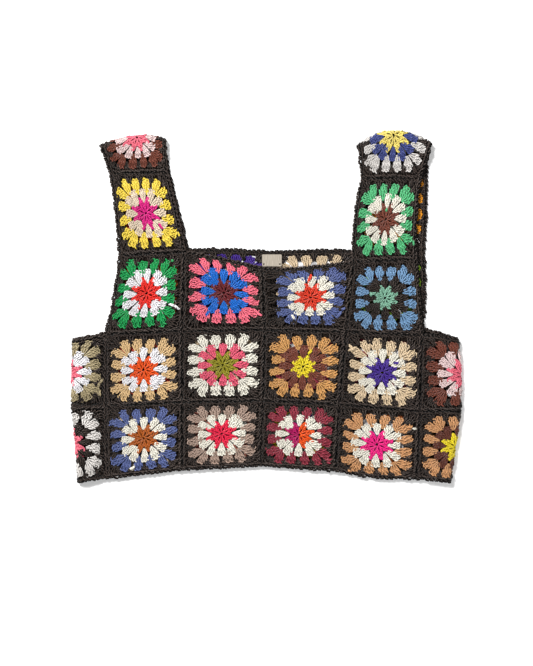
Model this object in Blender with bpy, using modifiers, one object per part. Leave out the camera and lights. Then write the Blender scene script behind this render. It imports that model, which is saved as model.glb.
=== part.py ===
"""Crochet top of granny squares, laid out flat.

Ten squares go round the body in two rows, four more a side make the chest, one a side each
strap, and one square is folded over each shoulder. Every square is a wall of crochet on the
form of the laid-out top. Seams, neck, armholes and hem follow the corner points below.
Metres in Blender, millimetres in the tables. +X is the viewer's right, +Y the shoulders, +Z up.
"""

import math

import bmesh
import bpy
from mathutils import Vector

MM = 0.001
COLLECTION = "crochet_top"

# Thickness of the crochet and how the layers lie
WALL = 3.0
LAYER_GAP = 0.4
SEAM_GAP = 0.3
BACK_MIDDLE = WALL / 2
FRONT_MIDDLE = WALL + LAYER_GAP + WALL / 2

# Soft form
SIDE_FOLD_RADIUS = 4.0
SHOULDER_FOLD_RADIUS = 5.0
SHOULDER_END_RADIUS = 3.6
DOME_HEIGHT = 1.4
EDGE_LIFT = 1.5
LIFT_SCALE = 6.75

# Edging of one round of short stitches
EDGING_GAP = 0.3
EDGING_WIDTH = 2.0
EDGING_THICKNESS = 2.4

# Mesh steps
FRONT_STEPS = 6
BACK_STEPS = 4
FOLD_ACROSS_STEPS = 4
FRONT_LEG_STEPS = 3
ARC_STEPS = 6
BACK_LEG_STEPS = 2

# Label plate at the back neck
LABEL_WIDTH = 21.6
LABEL_HEIGHT = 13.2
LABEL_THICKNESS = 0.9
LABEL_LEFT = -4.9
LABEL_BOTTOM = 44.3
LABEL_CORNER = 1.2
LABEL_HOLE_DIAMETER = 1.7
LABEL_HOLE_INSET = 2.0
LABEL_HOLE_RISE = 2.6

# Where the seams cross, row by row: left side seam, left strap, centre, right strap, right side
FRONT_LINES = {
    "chest": ((-161.2, 56.7), (-90.8, 60.0), (-5.0, 41.3), (96.2, 49.0), (163.4, 52.3)),
    "bust": ((-176.5, -30.3), (-93.0, -27.0), (-2.2, -25.3), (87.5, -27.5), (171.0, -31.4)),
    "waist": ((-177.7, -109.5), (-93.0, -105.0), (-3.9, -103.4), (79.8, -107.8), (168.3, -115.0)),
    "hem": ((-175.5, -187.0), (-93.0, -177.8), (-7.2, -173.3), (75.9, -178.8), (165.6, -187.6)),
}
BACK_LINES = {
    "chest": ((-154.5, 66.5), (-87.5, 61.0), (4.5, 59.2), (102.0, 60.4), (172.0, 62.0)),
    "bust": ((-170.0, -31.0), (-86.0, -20.0), (4.5, -16.0), (94.0, -18.0), (170.5, -24.5)),
    "waist": ((-171.0, -104.0), (-86.0, -97.0), (2.5, -95.0), (88.0, -99.0), (171.0, -104.0)),
    "hem": ((-169.0, -182.0), (-86.0, -172.0), (0.0, -168.0), (84.0, -172.0), (172.0, -181.0)),
}
# Upper ends of the straps, where the shoulder squares join: left corner, right corner
FRONT_STRAP_TOPS = {
    "left": ((-170.5, 146.9), (-111.1, 148.0)),
    "right": ((106.2, 141.4), (167.8, 141.4)),
}
BACK_STRAP_TOPS = {
    "left": ((-164.5, 157.0), (-110.6, 157.0)),
    "right": ((112.0, 157.0), (175.3, 157.0)),
}
# Fold over the shoulder: left end, middle, right end
SHOULDER_FOLDS = {
    "left": ((-181.0, 177.7), (-142.5, 187.4), (-113.3, 184.0)),
    "right": ((102.3, 178.4), (139.2, 192.6), (179.9, 180.0)),
}
# Fold down the side: bottom, middle and top of each row
SIDE_FOLDS = {
    ("left", 3): ((-213.5, -110.5), (-213.5, -73.0), (-212.3, -37.6)),
    ("left", 4): ((-206.8, -191.4), (-209.8, -150.0), (-213.5, -110.5)),
    ("right", 3): ((212.6, -115.5), (213.5, -75.0), (210.1, -36.6)),
    ("right", 4): ((201.9, -191.4), (207.5, -154.0), (212.6, -115.5)),
}
# Free edges that bow: how far the middle of the edge moves, left and right edges along X,
# the top and the bottom along Y
BOWS = {
    "front_1_left": {"left": 1.5},
    "front_1_right": {"left": -2.8, "right": -2.2},
    "front_2_1": {"left": 2.5},
    "front_2_2": {"top": 0.8},
    "front_2_3": {"top": -3.2},
    "front_4_4": {"bottom": -3.2},
    "back_1_right": {"right": 1.4},
    "back_2_2": {"top": 1.4},
    "back_2_3": {"top": 0.6},
    "back_2_4": {"right": 2.2},
}
# Outer-round colour of each square (sRGB)
YARNS = {
    "black": (0.075, 0.068, 0.062),
    "yellow": (0.96, 0.84, 0.31),
    "green": (0.10, 0.61, 0.31),
    "bright_green": (0.29, 0.75, 0.47),
    "pink": (0.96, 0.43, 0.51),
    "periwinkle": (0.33, 0.39, 0.63),
    "sky_blue": (0.45, 0.63, 0.80),
    "tan": (0.84, 0.71, 0.51),
    "cream": (0.91, 0.89, 0.84),
    "tan_gold": (0.82, 0.61, 0.37),
    "beige": (0.87, 0.77, 0.63),
    "denim": (0.31, 0.39, 0.63),
    "taupe": (0.65, 0.55, 0.49),
    "maroon": (0.57, 0.20, 0.25),
    "camel": (0.80, 0.59, 0.41),
    "khaki": (0.65, 0.59, 0.45),
    "pale_grey": (0.86, 0.84, 0.83),
    "brown": (0.47, 0.24, 0.19),
    "red": (0.85, 0.12, 0.10),
    "golden_orange": (0.90, 0.59, 0.12),
    "rust": (0.65, 0.32, 0.12),
    "purple": (0.34, 0.22, 0.60),
    "lime": (0.55, 0.72, 0.18),
    "coral": (0.90, 0.33, 0.25),
    "rose": (0.83, 0.60, 0.62),
    "plum_brown": (0.42, 0.20, 0.20),
    "salmon": (0.90, 0.52, 0.44),
    "olive_yellow": (0.72, 0.68, 0.22),
}
OUTER_YARN = {
    "front_1_left": "yellow",
    "front_1_right": "bright_green",
    "front_2_1": "green",
    "front_2_2": "pink",
    "front_2_3": "periwinkle",
    "front_2_4": "sky_blue",
    "front_3_1": "tan",
    "front_3_2": "cream",
    "front_3_3": "tan_gold",
    "front_3_4": "beige",
    "front_4_1": "denim",
    "front_4_2": "taupe",
    "front_4_3": "maroon",
    "front_4_4": "camel",
    "side_left_3": "khaki",
    "side_left_4": "pale_grey",
    "side_right_3": "brown",
    "side_right_4": "camel",
    "shoulder_left": "brown",
    "shoulder_right": "pale_grey",
    "back_1_left": "red",
    "back_1_right": "golden_orange",
    "back_2_1": "rust",
    "back_2_2": "purple",
    "back_2_3": "tan",
    "back_2_4": "lime",
    "back_3_1": "coral",
    "back_3_2": "cream",
    "back_3_3": "rose",
    "back_3_4": "plum_brown",
    "back_4_1": "cream",
    "back_4_2": "salmon",
    "back_4_3": "olive_yellow",
    "back_4_4": "rust",
}
LABEL_COLOUR = (0.66, 0.62, 0.56)
YARN_ROUGHNESS = 0.65
LABEL_ROUGHNESS = 0.5


def flat_square(name, corners, middle_height, free=(), dome=0.0):
    """A square lying on one layer. corners: bottom left, bottom right, top left, top right."""
    return {
        "name": name,
        "kind": "flat",
        "corners": [Vector(c) for c in corners],
        "height": middle_height,
        "free": free,
        "dome": dome,
        "bow": BOWS.get(name, {}),
    }


def folded_square(name, front, fold, back, around):
    """A square folded over an edge. front and back are its two seams, and fold its three
    points along the fold. around says which of u and v goes round the fold."""
    return {
        "name": name,
        "kind": "folded",
        "front": [Vector(c) for c in front],
        "fold": [Vector(c) for c in fold],
        "back": [Vector(c) for c in back],
        "around": around,
    }


def free_edges(row, column):
    """Edges of a chest or body square that no other square joins."""
    edges = []
    if row == 2 and column == 1:
        edges.append("left")
    if row == 2 and column == 4:
        edges.append("right")
    if row == 2 and column in (2, 3):
        edges.append("top")
    if row == 4:
        edges.append("bottom")
    return tuple(edges)


def panel_squares(side, lines, strap_tops, middle_height, dome):
    """Squares of the front or the back: three rows of four, and one in each strap."""
    squares = []
    rows = (("chest", "bust", 2), ("bust", "waist", 3), ("waist", "hem", 4))
    for upper, lower, row in rows:
        for column in range(1, 5):
            top, bottom = lines[upper], lines[lower]
            corners = (bottom[column - 1], bottom[column], top[column - 1], top[column])
            name = f"{side}_{row}_{column}"
            free = free_edges(row, column)
            squares.append(flat_square(name, corners, middle_height, free, dome))
    chest = lines["chest"]
    for strap, left, right in (("left", 0, 1), ("right", 3, 4)):
        corners = (chest[left], chest[right], *strap_tops[strap])
        name = f"{side}_1_{strap}"
        squares.append(flat_square(name, corners, middle_height, ("left", "right"), dome))
    return squares


def side_squares():
    """Squares at the left and right side, folded from the front to the back."""
    squares = []
    for side, column in (("left", 0), ("right", 4)):
        for upper, lower, row in (("bust", "waist", 3), ("waist", "hem", 4)):
            front = (FRONT_LINES[lower][column], FRONT_LINES[upper][column])
            back = (BACK_LINES[lower][column], BACK_LINES[upper][column])
            name = f"side_{side}_{row}"
            squares.append(folded_square(name, front, SIDE_FOLDS[side, row], back, "u"))
    return squares


def shoulder_squares():
    """Squares folded over the left and right shoulder."""
    squares = []
    for side in ("left", "right"):
        front, back = FRONT_STRAP_TOPS[side], BACK_STRAP_TOPS[side]
        name = f"shoulder_{side}"
        squares.append(folded_square(name, front, SHOULDER_FOLDS[side], back, "v"))
    return squares


def flat_point(square, u, v):
    """Point of a flat square's middle surface, with u and v from -1 to 1."""
    bottom_left, bottom_right, top_left, top_right = square["corners"]
    across, up = (u + 1) / 2, (v + 1) / 2
    bottom = bottom_left.lerp(bottom_right, across)
    place = bottom.lerp(top_left.lerp(top_right, across), up)
    bow = square["bow"]
    sag_x = bow.get("left", 0.0) * (1 - across) + bow.get("right", 0.0) * across
    sag_y = bow.get("bottom", 0.0) * (1 - up) + bow.get("top", 0.0) * up
    x = place.x + sag_x * (1 - v * v)
    y = place.y + sag_y * (1 - u * u)
    z = square["height"] + square["dome"] * flat_relief(square, u, v)
    return Vector((x, y, z))


def flat_relief(square, u, v):
    """Height of a square's soft crown, and of the roll behind its free edges."""
    crown = DOME_HEIGHT * (1 - u * u) ** 2 * (1 - v * v) ** 2
    towards = {"left": (-u, v), "right": (u, v), "bottom": (-v, u), "top": (v, u)}
    for edge in square["free"]:
        out, along = towards[edge]
        out = max(out, 0.0)
        crown += EDGE_LIFT * LIFT_SCALE * (out * (1 - out * out)) ** 2 * (1 - along * along) ** 2
    return crown


def fold_radius(square, along):
    """Radius of the fold at a place along it, from -1 to 1."""
    if square["around"] == "u":
        return SIDE_FOLD_RADIUS
    return SHOULDER_FOLD_RADIUS + (SHOULDER_END_RADIUS - SHOULDER_FOLD_RADIUS) * along * along


def fold_sizes(square, along):
    """Front seam, start of the turn, back seam, direction of the fold and its radius."""
    share = (along + 1) / 2
    front = square["front"][0].lerp(square["front"][1], share)
    back = square["back"][0].lerp(square["back"][1], share)
    first, middle, last = square["fold"]
    fold = first * (along * (along - 1) / 2) + middle * (1 - along * along)
    fold += last * (along * (along + 1) / 2)
    outward = (fold - (front + back) / 2).normalized()
    radius = fold_radius(square, along)
    return front, fold - outward * radius, back, outward, radius


def fold_shares(square):
    """Shares of the way round at which the turn starts and ends, on the middle line, and
    the length of that way."""
    front, turn, back, _, radius = fold_sizes(square, 0.0)
    front_leg, arc, back_leg = (turn - front).length, math.pi * radius, (back - turn).length
    total = front_leg + arc + back_leg
    return front_leg / total, (front_leg + arc) / total, total


def folded_point(square, u, v):
    """Point of a folded square's middle surface: up the front, round the fold, down the back."""
    around, along = (u, v) if square["around"] == "u" else (v, u)
    front, turn, back, outward, radius = fold_sizes(square, along)
    turn_starts, turn_ends, _ = fold_shares(square)
    walked = (around + 1) / 2
    if walked < turn_starts:
        share = walked / turn_starts
        rise = share * share * (3 - 2 * share)
        place = front.lerp(turn, share)
        height = FRONT_MIDDLE + (BACK_MIDDLE + 2 * radius - FRONT_MIDDLE) * rise
    elif walked < turn_ends:
        angle = math.pi * (walked - turn_starts) / (turn_ends - turn_starts)
        place = turn + outward * radius * math.sin(angle)
        height = BACK_MIDDLE + radius * (1 + math.cos(angle))
    else:
        place = turn.lerp(back, (walked - turn_ends) / (1 - turn_ends))
        height = BACK_MIDDLE
    return Vector((place.x, place.y, height))


def square_point(square, u, v):
    if square["kind"] == "flat":
        return flat_point(square, u, v)
    return folded_point(square, u, v)


def around_stations(square):
    """Places round a fold, from -1 to 1, closer together where it turns."""
    turn_starts, turn_ends, _ = fold_shares(square)
    shares = [turn_starts * i / FRONT_LEG_STEPS for i in range(FRONT_LEG_STEPS)]
    shares += [turn_starts + (turn_ends - turn_starts) * i / ARC_STEPS for i in range(ARC_STEPS)]
    shares += [turn_ends + (1 - turn_ends) * i / BACK_LEG_STEPS for i in range(BACK_LEG_STEPS + 1)]
    return [2 * share - 1 for share in shares]


def even_stations(steps):
    return [2 * i / steps - 1 for i in range(steps + 1)]


def square_stations(square):
    """Places of the mesh lines along u and along v."""
    if square["kind"] == "flat":
        steps = FRONT_STEPS if square["dome"] else BACK_STEPS
        return even_stations(steps), even_stations(steps)
    around, along = around_stations(square), even_stations(FOLD_ACROSS_STEPS)
    return (around, along) if square["around"] == "u" else (along, around)


def inset(square, u, v):
    """Pulls a square's edge in by half the seam gap."""
    width = (square_point(square, 1, 0) - square_point(square, -1, 0)).length
    height = (square_point(square, 0, 1) - square_point(square, 0, -1)).length
    if square["kind"] == "folded":
        length = fold_shares(square)[2]
        width, height = (length, height) if square["around"] == "u" else (width, length)
    return u * (1 - SEAM_GAP / width), v * (1 - SEAM_GAP / height)


def new_material(name, colour, roughness):
    material = bpy.data.materials.new(name)
    material.use_nodes = True
    shader = material.node_tree.nodes["Principled BSDF"]
    linear = [c / 12.92 if c <= 0.04045 else ((c + 0.055) / 1.055) ** 2.4 for c in colour]
    shader.inputs["Base Color"].default_value = (*linear, 1.0)
    shader.inputs["Roughness"].default_value = roughness
    shader.inputs["Metallic"].default_value = 0.0
    return material


def add_object(collection, name, mesh, material):
    node = bpy.data.objects.new(name, mesh)
    node.data.materials.append(material)
    collection.objects.link(node)
    return node


def solidify(node, thickness):
    """Gives an open surface its thickness, half on each side."""
    modifier = node.modifiers.new("wall", "SOLIDIFY")
    modifier.thickness = thickness * MM
    modifier.offset = 0.0


def build_square(collection, square, material):
    """Lays a grid on the square's middle surface and thickens it."""
    stations_u, stations_v = square_stations(square)
    grid = bmesh.new()
    steps_u, steps_v = len(stations_u) - 1, len(stations_v) - 1
    bmesh.ops.create_grid(grid, x_segments=steps_u, y_segments=steps_v, size=1.0)
    for vertex in grid.verts:
        u = stations_u[round((vertex.co.x + 1) / 2 * steps_u)]
        v = stations_v[round((vertex.co.y + 1) / 2 * steps_v)]
        vertex.co = square_point(square, *inset(square, u, v)) * MM
    mesh = bpy.data.meshes.new(square["name"])
    grid.to_mesh(mesh)
    grid.free()
    mesh.shade_smooth()
    solidify(add_object(collection, square["name"], mesh, material), WALL)


def run_directions(square, points, fixed):
    """Level direction in which an edge runs, at each of its points."""
    last = len(points) - 1
    steps = [points[min(i + 1, last)] - points[max(i - 1, 0)] for i in range(last + 1)]
    if square["kind"] == "flat":
        return steps
    front, turn, back, outward, _ = fold_sizes(square, fixed)
    first_turn, last_turn = FRONT_LEG_STEPS, FRONT_LEG_STEPS + ARC_STEPS
    up_front, down_back = (turn - front).normalized(), (turn - back).normalized()
    directions = [up_front if i < first_turn else down_back for i in range(last + 1)]
    directions[first_turn] = (up_front + outward).normalized()
    directions[last_turn] = (down_back + outward).normalized()
    for i in range(first_turn + 1, last_turn):
        directions[i] = outward
    return [direction.to_3d() for direction in directions]


def edge_points(square, edge):
    """Points along one edge of a square, and the level direction out of it at each."""
    stations_u, stations_v = square_stations(square)
    fixed = {"left": -1, "right": 1, "bottom": -1, "top": 1}[edge]
    upright = edge in ("left", "right")
    stations = stations_v if upright else stations_u
    points = [
        square_point(square, fixed, s) if upright else square_point(square, s, fixed)
        for s in stations
    ]
    middle = square_point(square, 0, 0)
    outs = []
    for point, along in zip(points, run_directions(square, points, fixed)):
        out = Vector((along.y, -along.x, 0)).normalized()
        outs.append(out if out.dot(point - middle) > 0 else -out)
    return points, outs


def rail(squares, path):
    """A closed rail along the named edges, with a mitred direction out of each point."""
    points, outs = [], []
    for name, edge, backwards in path:
        edge_run, out_run = edge_points(squares[name], edge)
        if backwards:
            edge_run, out_run = edge_run[::-1], out_run[::-1]
        if points:
            outs[-1] = mitre(outs[-1], out_run[0])
            edge_run, out_run = edge_run[1:], out_run[1:]
        points += edge_run
        outs += out_run
    outs[0] = mitre(outs[0], outs[-1])
    return points[:-1], outs[:-1]


def mitre(first, second):
    return (first + second) / (1 + first.dot(second))


def build_edging(collection, name, squares, path, material):
    """A ribbon that runs round an opening, just outside the squares, and its thickness."""
    points, outs = rail(squares, path)
    ribbon = bmesh.new()
    pairs = []
    for point, out in zip(points, outs):
        inner = ribbon.verts.new((point + out * EDGING_GAP) * MM)
        outer = ribbon.verts.new((point + out * (EDGING_GAP + EDGING_WIDTH)) * MM)
        pairs.append((inner, outer))
    for (inner, outer), (next_inner, next_outer) in zip(pairs, pairs[1:] + pairs[:1]):
        ribbon.faces.new((inner, outer, next_outer, next_inner))
    mesh = bpy.data.meshes.new(name)
    ribbon.to_mesh(mesh)
    ribbon.free()
    mesh.shade_smooth()
    solidify(add_object(collection, name, mesh, material), EDGING_THICKNESS)


def build_label(collection, cutters, material):
    """A thin plate with rounded corners and two sewing holes, on the inside of the back."""
    bottom = WALL + SEAM_GAP
    centre = Vector((LABEL_LEFT + LABEL_WIDTH / 2, LABEL_BOTTOM + LABEL_HEIGHT / 2,
                     bottom + LABEL_THICKNESS / 2))
    block = bmesh.new()
    bmesh.ops.create_cube(block, size=1.0)
    sizes = Vector((LABEL_WIDTH, LABEL_HEIGHT, LABEL_THICKNESS)) * MM
    bmesh.ops.scale(block, vec=sizes, verts=block.verts)
    upright = [e for e in block.edges if abs(e.verts[0].co.z - e.verts[1].co.z) > sizes.z / 2]
    bmesh.ops.bevel(block, geom=upright, offset=LABEL_CORNER * MM, segments=3, affect="EDGES")
    mesh = bpy.data.meshes.new("label_plate")
    block.to_mesh(mesh)
    block.free()
    plate = add_object(collection, "label_plate", mesh, material)
    plate.location = centre * MM
    for side in (-1, 1):
        drill = bmesh.new()
        bmesh.ops.create_cone(drill, cap_ends=True, segments=12, depth=4 * LABEL_THICKNESS * MM,
                              radius1=LABEL_HOLE_DIAMETER / 2 * MM,
                              radius2=LABEL_HOLE_DIAMETER / 2 * MM)
        name = "label_hole_left" if side < 0 else "label_hole_right"
        drill_mesh = bpy.data.meshes.new(name)
        drill.to_mesh(drill_mesh)
        drill.free()
        cutter = bpy.data.objects.new(name, drill_mesh)
        cutters.objects.link(cutter)
        across = side * (LABEL_WIDTH / 2 - LABEL_HOLE_INSET)
        rise = LABEL_HOLE_RISE - LABEL_HEIGHT / 2
        cutter.location = (centre + Vector((across, rise, 0))) * MM
        cutter.hide_render = True
        cutter.display_type = "WIRE"
        cut = plate.modifiers.new(name, "BOOLEAN")
        cut.operation = "DIFFERENCE"
        cut.object = cutter


def edging_paths():
    """Edges that each edging runs along, in order, and whether it runs them backwards."""
    hem = [(f"front_4_{c}", "bottom", False) for c in range(1, 5)]
    hem += [("side_right_4", "bottom", False)]
    hem += [(f"back_4_{c}", "bottom", True) for c in range(4, 0, -1)]
    hem += [("side_left_4", "bottom", True)]
    armholes = {}
    for side, edge, column in (("left", "left", 1), ("right", "right", 4)):
        armholes[side] = [
            (f"front_2_{column}", edge, False),
            (f"front_1_{side}", edge, False),
            (f"shoulder_{side}", edge, False),
            (f"back_1_{side}", edge, True),
            (f"back_2_{column}", edge, True),
            (f"side_{side}_3", "top", True),
        ]
    neck = [
        ("front_2_2", "top", False),
        ("front_2_3", "top", False),
        ("front_1_right", "left", False),
        ("shoulder_right", "left", False),
        ("back_1_right", "left", True),
        ("back_2_3", "top", True),
        ("back_2_2", "top", True),
        ("back_1_left", "right", False),
        ("shoulder_left", "right", True),
        ("front_1_left", "right", True),
    ]
    return {
        "hem_edging": hem,
        "armhole_edging_left": armholes["left"],
        "armhole_edging_right": armholes["right"],
        "neck_edging": neck,
    }


def new_collection(name):
    collection = bpy.data.collections.new(name)
    bpy.context.scene.collection.children.link(collection)
    return collection


def main():
    for old in list(bpy.data.objects):
        bpy.data.objects.remove(old, do_unlink=True)
    collection = new_collection(COLLECTION)
    cutters = new_collection("cutters")
    materials = {
        name: new_material(f"yarn_{name}", colour, YARN_ROUGHNESS)
        for name, colour in YARNS.items()
    }
    squares = panel_squares("front", FRONT_LINES, FRONT_STRAP_TOPS, FRONT_MIDDLE, 1.0)
    squares += panel_squares("back", BACK_LINES, BACK_STRAP_TOPS, BACK_MIDDLE, 0.0)
    squares += side_squares() + shoulder_squares()
    for square in squares:
        build_square(collection, square, materials[OUTER_YARN[square["name"]]])
    by_name = {square["name"]: square for square in squares}
    for name, path in edging_paths().items():
        build_edging(collection, name, by_name, path, materials["black"])
    build_label(collection, cutters, new_material("label", LABEL_COLOUR, LABEL_ROUGHNESS))


main()
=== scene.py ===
"""Crochet top of granny squares, laid out flat: the looks.

Every square is crocheted here stitch by stitch from plied cotton. A round is a ring of
clusters, a cluster two or three double crochet, and a double crochet two legs, a strand wound
round them and a loop on top. The stitches follow the form that the part's solids have, given
again below in millimetres and tested against them. +X is the viewer's right, +Y the shoulders.
"""

import math

import bpy
import numpy as np
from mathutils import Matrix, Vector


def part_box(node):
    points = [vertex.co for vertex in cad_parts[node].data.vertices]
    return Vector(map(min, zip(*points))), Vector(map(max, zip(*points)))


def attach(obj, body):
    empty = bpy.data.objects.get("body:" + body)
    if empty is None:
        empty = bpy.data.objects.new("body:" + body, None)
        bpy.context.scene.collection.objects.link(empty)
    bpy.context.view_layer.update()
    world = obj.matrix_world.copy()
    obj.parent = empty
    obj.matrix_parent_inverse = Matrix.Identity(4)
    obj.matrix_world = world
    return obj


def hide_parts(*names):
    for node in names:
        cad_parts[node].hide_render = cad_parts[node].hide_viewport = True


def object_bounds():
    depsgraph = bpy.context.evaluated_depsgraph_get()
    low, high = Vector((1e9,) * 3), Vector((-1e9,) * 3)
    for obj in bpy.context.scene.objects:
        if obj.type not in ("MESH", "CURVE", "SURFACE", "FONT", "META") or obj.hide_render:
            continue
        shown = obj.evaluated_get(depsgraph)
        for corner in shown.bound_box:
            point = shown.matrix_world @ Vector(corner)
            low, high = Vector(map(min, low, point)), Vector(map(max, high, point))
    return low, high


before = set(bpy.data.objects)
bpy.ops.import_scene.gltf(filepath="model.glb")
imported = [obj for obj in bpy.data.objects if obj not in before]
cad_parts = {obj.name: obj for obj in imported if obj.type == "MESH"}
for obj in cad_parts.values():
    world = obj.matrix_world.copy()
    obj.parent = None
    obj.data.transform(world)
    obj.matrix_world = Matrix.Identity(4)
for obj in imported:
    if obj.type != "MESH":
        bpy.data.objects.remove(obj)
CAD_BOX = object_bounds()

bl_info = {
    "name": "Granny square top",
    "version": (1, 0, 0),
    "blender": (4, 5, 0),
    "location": "View3D > Sidebar > Granny top",
    "description": "Crochets a top of granny squares on its packed form",
    "category": "Add Mesh",
}

MM = 0.001
BODY = "root"

# ---------------------------------------------------------------- form, in millimetres

WALL = 3.0
LAYER_GAP = 0.4
BACK_MIDDLE = WALL / 2
FRONT_MIDDLE = WALL + LAYER_GAP + WALL / 2
SIDE_FOLD_RADIUS = 4.0
SHOULDER_FOLD_RADIUS = 5.0
SHOULDER_END_RADIUS = 3.6
DOME_HEIGHT = 1.4
EDGE_LIFT = 1.5
LIFT_SCALE = 6.75
FORM_TOLERANCE = 1.0
FORM_STATIONS = 61
WALK_STATIONS = 41

# Where the seams cross, row by row: left side seam, left strap, centre, right strap, right side
FRONT_LINES = {
    "chest": ((-161.2, 56.7), (-90.8, 60.0), (-5.0, 41.3), (96.2, 49.0), (163.4, 52.3)),
    "bust": ((-176.5, -30.3), (-93.0, -27.0), (-2.2, -25.3), (87.5, -27.5), (171.0, -31.4)),
    "waist": ((-177.7, -109.5), (-93.0, -105.0), (-3.9, -103.4), (79.8, -107.8), (168.3, -115.0)),
    "hem": ((-175.5, -187.0), (-93.0, -177.8), (-7.2, -173.3), (75.9, -178.8), (165.6, -187.6)),
}
BACK_LINES = {
    "chest": ((-154.5, 66.5), (-87.5, 61.0), (4.5, 59.2), (102.0, 60.4), (172.0, 62.0)),
    "bust": ((-170.0, -31.0), (-86.0, -20.0), (4.5, -16.0), (94.0, -18.0), (170.5, -24.5)),
    "waist": ((-171.0, -104.0), (-86.0, -97.0), (2.5, -95.0), (88.0, -99.0), (171.0, -104.0)),
    "hem": ((-169.0, -182.0), (-86.0, -172.0), (0.0, -168.0), (84.0, -172.0), (172.0, -181.0)),
}
# Upper ends of the straps: left corner, right corner
FRONT_STRAP_TOPS = {
    "left": ((-170.5, 146.9), (-111.1, 148.0)),
    "right": ((106.2, 141.4), (167.8, 141.4)),
}
BACK_STRAP_TOPS = {
    "left": ((-164.5, 157.0), (-110.6, 157.0)),
    "right": ((112.0, 157.0), (175.3, 157.0)),
}
# Fold over the shoulder: left end, middle, right end
SHOULDER_FOLDS = {
    "left": ((-181.0, 177.7), (-142.5, 187.4), (-113.3, 184.0)),
    "right": ((102.3, 178.4), (139.2, 192.6), (179.9, 180.0)),
}
# Fold down the side: bottom, middle and top of each row
SIDE_FOLDS = {
    ("left", 3): ((-213.5, -110.5), (-213.5, -73.0), (-212.3, -37.6)),
    ("left", 4): ((-206.8, -191.4), (-209.8, -150.0), (-213.5, -110.5)),
    ("right", 3): ((212.6, -115.5), (213.5, -75.0), (210.1, -36.6)),
    ("right", 4): ((201.9, -191.4), (207.5, -154.0), (212.6, -115.5)),
}
# Free edges that bow: how far the middle of the edge moves
BOWS = {
    "front_1_left": {"left": 1.5},
    "front_1_right": {"left": -2.8, "right": -2.2},
    "front_2_1": {"left": 2.5},
    "front_2_2": {"top": 0.8},
    "front_2_3": {"top": -3.2},
    "front_4_4": {"bottom": -3.2},
    "back_1_right": {"right": 1.4},
    "back_2_2": {"top": 1.4},
    "back_2_3": {"top": 0.6},
    "back_2_4": {"right": 2.2},
}

# ---------------------------------------------------------------- yarn and rounds

# Colours of the cotton (sRGB)
COTTON = {
    "black": (0.29, 0.25, 0.23),
    "white": (0.94, 0.93, 0.94),
    "cream": (0.94, 0.92, 0.86),
    "ecru": (0.90, 0.82, 0.72),
    "yellow": (0.97, 0.85, 0.31),
    "butter": (0.97, 0.88, 0.46),
    "lemon": (0.94, 0.85, 0.16),
    "golden_orange": (0.93, 0.60, 0.10),
    "orange": (0.92, 0.33, 0.08),
    "vermilion": (0.90, 0.25, 0.15),
    "scarlet": (0.93, 0.18, 0.14),
    "crimson": (0.92, 0.13, 0.28),
    "coral": (0.91, 0.34, 0.25),
    "salmon": (0.91, 0.54, 0.46),
    "pink": (0.97, 0.45, 0.53),
    "rose_pink": (0.90, 0.36, 0.46),
    "pale_pink": (0.93, 0.82, 0.81),
    "hot_pink": (0.95, 0.13, 0.52),
    "magenta": (0.86, 0.13, 0.51),
    "deep_magenta": (0.72, 0.07, 0.38),
    "maroon": (0.58, 0.20, 0.26),
    "oxblood": (0.42, 0.14, 0.16),
    "violet": (0.28, 0.17, 0.56),
    "navy": (0.27, 0.31, 0.55),
    "denim": (0.35, 0.40, 0.60),
    "periwinkle": (0.35, 0.40, 0.60),
    "royal_blue": (0.10, 0.42, 0.80),
    "sky_blue": (0.45, 0.60, 0.75),
    "sage": (0.50, 0.70, 0.60),
    "green": (0.10, 0.62, 0.32),
    "bright_green": (0.35, 0.75, 0.50),
    "lime": (0.56, 0.73, 0.16),
    "olive": (0.58, 0.55, 0.13),
    "khaki": (0.67, 0.61, 0.47),
    "beige": (0.88, 0.78, 0.64),
    "tan": (0.86, 0.72, 0.52),
    "tan_gold": (0.84, 0.62, 0.37),
    "camel": (0.82, 0.60, 0.41),
    "taupe": (0.68, 0.58, 0.52),
    "pale_grey": (0.88, 0.86, 0.84),
    "rust": (0.69, 0.35, 0.11),
    "brown": (0.47, 0.25, 0.19),
    "dark_brown": (0.38, 0.20, 0.15),
}
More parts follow.
